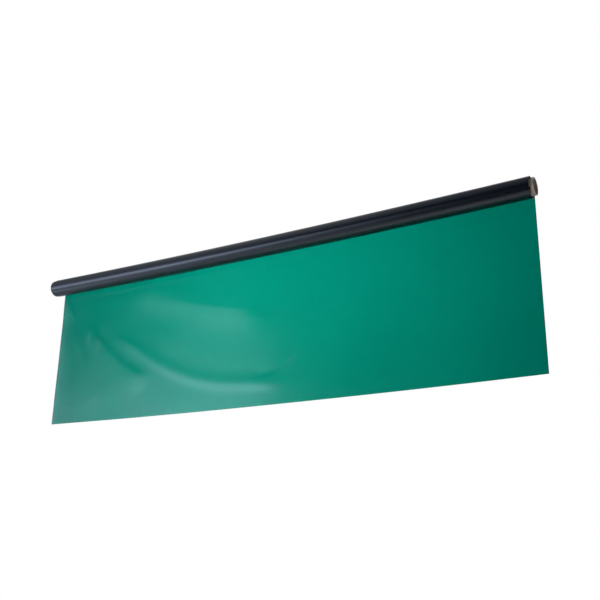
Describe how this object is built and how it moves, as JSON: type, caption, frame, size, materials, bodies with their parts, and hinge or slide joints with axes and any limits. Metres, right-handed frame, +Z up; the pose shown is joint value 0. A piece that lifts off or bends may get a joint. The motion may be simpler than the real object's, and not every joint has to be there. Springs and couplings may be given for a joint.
{
  "type": "welding curtain film roll",
  "caption": "Wide roll of translucent green arc-screening film on a paperboard core, hung by the core with a length of film let down at the back.",
  "frame": {"origin": "on the roll's axis, halfway along the film, where the bar through the core holds the roll up", "axes": "+X along the roll, +Y towards the side on which the film hangs, +Z up"},
  "size_m": [2.0625, 0.07, 0.6147],
  "materials": {
    "core_card": "spirally wound grey-brown paperboard, matt, with plain cut ends",
    "film_wound": "many laps of glossy green film on each other, nearly black, with long soft reflections",
    "film_hanging": "glossy translucent dark-green soft vinyl film with faint handling creases",
    "tape": "brown adhesive tape"
  },
  "bodies": {
    "lead": {"film_lead": "film_hanging"},
    "roll": {"core_tube": "core_card", "film_winding": "film_wound", "starter_tape_1": "tape", "starter_tape_2": "tape", "starter_tape_3": "tape", "starter_tape_4": "tape"},
    "swing": {"film_upper": "film_hanging"},
    "curtain": {"film_curtain": "film_hanging"}
  },
  "joints": [
    {"name": "roll_turn", "type": "hinge", "parent": "lead", "child": "roll", "pos_m": [0, 0, 0], "axis": [-1, 0, 0], "range_deg": [-360, 2520]},
    {"name": "curtain_swing", "type": "hinge", "parent": "lead", "child": "swing", "pos_m": [0, 0.03517, -0.042], "axis": [1, 0, 0], "range_deg": [-35, 35]},
    {"name": "film_feed", "type": "slide", "parent": "swing", "child": "curtain", "axis": [0, 0, -1], "range_m": [-0.2136, 1.4952], "deforming": ["film_curtain"]}
  ],
  "couplings": [
    {"joint": "roll_turn", "follows": "film_feed", "rad_per_m": 29.416}
  ]
}
